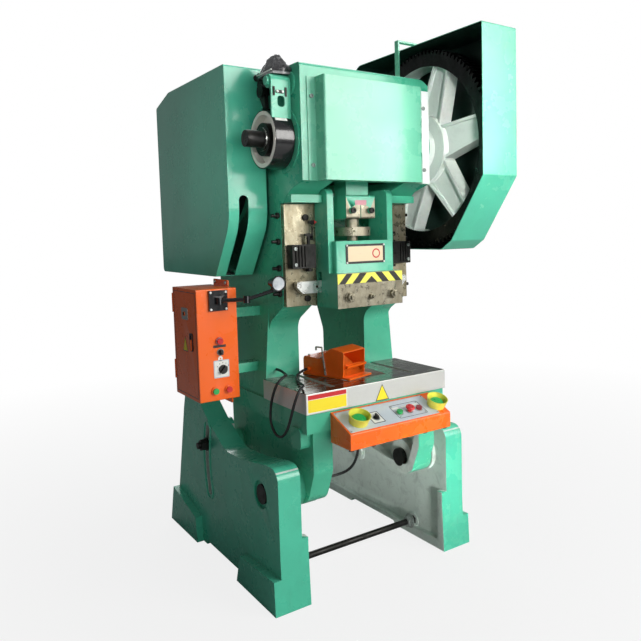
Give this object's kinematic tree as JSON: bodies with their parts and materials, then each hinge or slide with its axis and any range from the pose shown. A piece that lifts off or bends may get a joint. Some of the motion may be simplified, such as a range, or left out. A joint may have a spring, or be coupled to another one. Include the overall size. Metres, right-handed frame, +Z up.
{
  "type": "inclinable mechanical stamping press",
  "caption": "Open-front tilting crank press with cast body on two legs, gear and flywheel guards, bolster, two-hand desk, foot pedal and control cabinet.",
  "frame": {"origin": "floor level, midway between the four foundation bolt holes", "axes": "+X to the operator's right, +Y from the operator towards the back, +Z up"},
  "size_m": [1.172, 1.44, 2.292],
  "materials": {
    "cast_green": "light green enamel on a casting",
    "sheet_green": "light green enamel on sheet metal",
    "leg_paint": "light green enamel outside, light grey inside",
    "machined_steel": "machined, lightly oiled",
    "oiled_steel": "machined, covered with an oily film",
    "dark_steel": "blackened fasteners and screws",
    "plated_steel": "zinc plated",
    "cast_iron": "machined cast iron",
    "gear_grey": "light grey enamel, teeth bare and greased",
    "brass": "bronze bearing metal",
    "rubber_belt": "rubber drive belt",
    "cable_rubber": "black cable sheath",
    "motor_paint": "green motor enamel",
    "box_orange": "orange enamel on sheet metal",
    "desk_orange": "orange enamel on sheet metal",
    "pedal_orange": "orange enamel on a casting",
    "black_plastic": "black plastic",
    "wrap_black": "wrapped in dark film",
    "lamp_body": "dark enamelled lamp",
    "green_plastic": "green button",
    "red_plastic": "red button or lamp",
    "dark_red_plastic": "dark red button",
    "yellow_plastic": "yellow collar",
    "palm_plastic": "green palm button",
    "drum_iron": "machined drum"
  },
  "bodies": {
    "base": {"left_leg": "leg_paint", "right_leg": "leg_paint", "tie_rods": "plated_steel", "pivot_shafts": "machined_steel"},
    "body": {"press_frame": "cast_green", "bolster": "machined_steel", "front_cover": "sheet_green", "crank_bushes": "brass", "left_gib": "oiled_steel", "right_gib": "oiled_steel", "gib_screws": "dark_steel", "left_knockout_stop": "dark_steel", "right_knockout_stop": "dark_steel", "brake_band": "dark_steel", "brake_anchor": "machined_steel", "brake_strap": "cast_green", "brake_lever": "dark_steel", "drive_belts": "rubber_belt", "drive_shaft_bearings": "cast_green", "motor": "motor_paint", "motor_mount": "cast_green", "gear_guard": "sheet_green", "gear_guard_bracket": "plated_steel", "flywheel_guard": "sheet_green", "control_box": "box_orange", "control_box_brackets": "box_orange", "indicator_lamp": "red_plastic", "work_lamp_arm": "lamp_body", "console": "desk_orange", "palm_button_collars": "yellow_plastic", "pedal_base": "pedal_orange", "pedal_hook": "plated_steel", "lubricator": "wrap_black", "pedal_cable": "cable_rubber", "console_cable": "cable_rubber", "slot_clamp_bolts": "dark_steel"},
    "crank": {"crankshaft": "machined_steel", "brake_drum": "drum_iron"},
    "gear": {"main_gear": "gear_grey"},
    "back_shaft": {"drive_shaft": "machined_steel", "flywheel": "cast_green"},
    "rotor": {"motor_pulley": "cast_iron"},
    "rod": {"connecting_rod": "cast_green", "ball_screw": "machined_steel"},
    "slide": {"ram": "cast_green", "shank_clamp": "machined_steel"},
    "knockout": {"knockout_bar": "machined_steel"},
    "door": {"control_box_door": "box_orange"},
    "rotary_switch": {"rotary_switch_knob": "black_plastic"},
    "selector_switch": {"selector_knob": "black_plastic"},
    "green_push": {"green_button": "green_plastic"},
    "red_push": {"red_button": "red_plastic"},
    "lamp_head": {"work_lamp_head": "lamp_body"},
    "palm_left": {"left_palm_button": "palm_plastic"},
    "palm_right": {"right_palm_button": "palm_plastic"},
    "desk_selector": {"console_selector": "black_plastic"},
    "desk_start": {"start_button": "green_plastic"},
    "desk_stop": {"stop_button": "red_plastic"},
    "desk_reset": {"reset_button": "dark_red_plastic"},
    "treadle": {"pedal_treadle": "pedal_orange"}
  },
  "joints": [
    {"name": "frame_tilt", "type": "hinge", "parent": "base", "child": "body", "pos_m": [0, -0.35, 0.422], "axis": [-1, 0, 0], "range_deg": [0, 20]},
    {"name": "crank_turn", "type": "hinge", "parent": "body", "child": "crank", "pos_m": [0, -0.35, 1.81], "axis": [1, 0, 0], "range_deg": [0, 180]},
    {"name": "gear_spin", "type": "hinge", "parent": "body", "child": "gear", "pos_m": [0, -0.35, 1.81], "axis": [1, 0, 0], "continuous": true},
    {"name": "back_shaft_spin", "type": "hinge", "parent": "body", "child": "back_shaft", "pos_m": [0, 0.145, 1.775], "axis": [1, 0, 0], "continuous": true},
    {"name": "motor_spin", "type": "hinge", "parent": "body", "child": "rotor", "pos_m": [0, 0.478, 1.38], "axis": [1, 0, 0], "continuous": true},
    {"name": "slide_stroke", "type": "slide", "parent": "body", "child": "slide", "axis": [0, 0, 1], "range_m": [-0.08, 0]},
    {"name": "rod_swing", "type": "hinge", "parent": "crank", "child": "rod", "pos_m": [0, -0.35, 1.85], "axis": [1, 0, 0], "range_deg": [-180, 0]},
    {"name": "knockout_lift", "type": "slide", "parent": "slide", "child": "knockout", "axis": [0, 0, 1], "range_m": [0, 0.03]},
    {"name": "cabinet_door", "type": "hinge", "parent": "body", "child": "door", "pos_m": [-0.64, 0.06, 1.012], "axis": [0, 0, -1], "range_deg": [0, 110]},
    {"name": "rotary_turn", "type": "hinge", "parent": "body", "child": "rotary_switch", "pos_m": [-0.543, -0.2093, 0.913], "axis": [0, 1, 0], "range_deg": [0, 90]},
    {"name": "selector_turn", "type": "hinge", "parent": "body", "child": "selector_switch", "pos_m": [-0.551, -0.2093, 0.983], "axis": [0, 1, 0], "range_deg": [-45, 45]},
    {"name": "green_press", "type": "slide", "parent": "body", "child": "green_push", "axis": [0, 1, 0], "range_m": [0, 0.004], "stiffness_N_per_m": 800},
    {"name": "red_press", "type": "slide", "parent": "body", "child": "red_push", "axis": [0, 1, 0], "range_m": [0, 0.004], "stiffness_N_per_m": 800},
    {"name": "lamp_tilt", "type": "hinge", "parent": "body", "child": "lamp_head", "pos_m": [-0.382, -0.356, 1.226], "axis": [1, 0, 0], "range_deg": [-30, 30]},
    {"name": "left_palm_press", "type": "slide", "parent": "body", "child": "palm_left", "axis": [0, 0.3748, -0.9271], "range_m": [0, 0.006], "stiffness_N_per_m": 1500},
    {"name": "right_palm_press", "type": "slide", "parent": "body", "child": "palm_right", "axis": [0, 0.3748, -0.9271], "range_m": [0, 0.006], "stiffness_N_per_m": 1500},
    {"name": "desk_selector_turn", "type": "hinge", "parent": "body", "child": "desk_selector", "pos_m": [-0.079, -0.60549, 0.71176], "axis": [0, -0.3748, 0.9271], "range_deg": [-45, 45]},
    {"name": "start_press", "type": "slide", "parent": "body", "child": "desk_start", "axis": [0, 0.3748, -0.9271], "range_m": [0, 0.004], "stiffness_N_per_m": 800},
    {"name": "stop_press", "type": "slide", "parent": "body", "child": "desk_stop", "axis": [0, 0.3748, -0.9271], "range_m": [0, 0.004], "stiffness_N_per_m": 800},
    {"name": "reset_press", "type": "slide", "parent": "body", "child": "desk_reset", "axis": [0, 0.3748, -0.9271], "range_m": [0, 0.004], "stiffness_N_per_m": 800},
    {"name": "treadle_press", "type": "hinge", "parent": "body", "child": "treadle", "pos_m": [-0.05917, -0.28618, 0.868], "axis": [0.9563, 0.2924, 0], "range_deg": [0, 9], "stiffness_Nm_per_rad": 8}
  ],
  "couplings": [
    {"joint": "back_shaft_spin", "follows": "gear_spin", "ratio": -6.2941},
    {"joint": "motor_spin", "follows": "gear_spin", "ratio": -32.52},
    {"joint": "crank_turn", "follows": "slide_stroke", "rad_per_m": -39.27},
    {"joint": "rod_swing", "follows": "slide_stroke", "rad_per_m": 39.27}
  ]
}
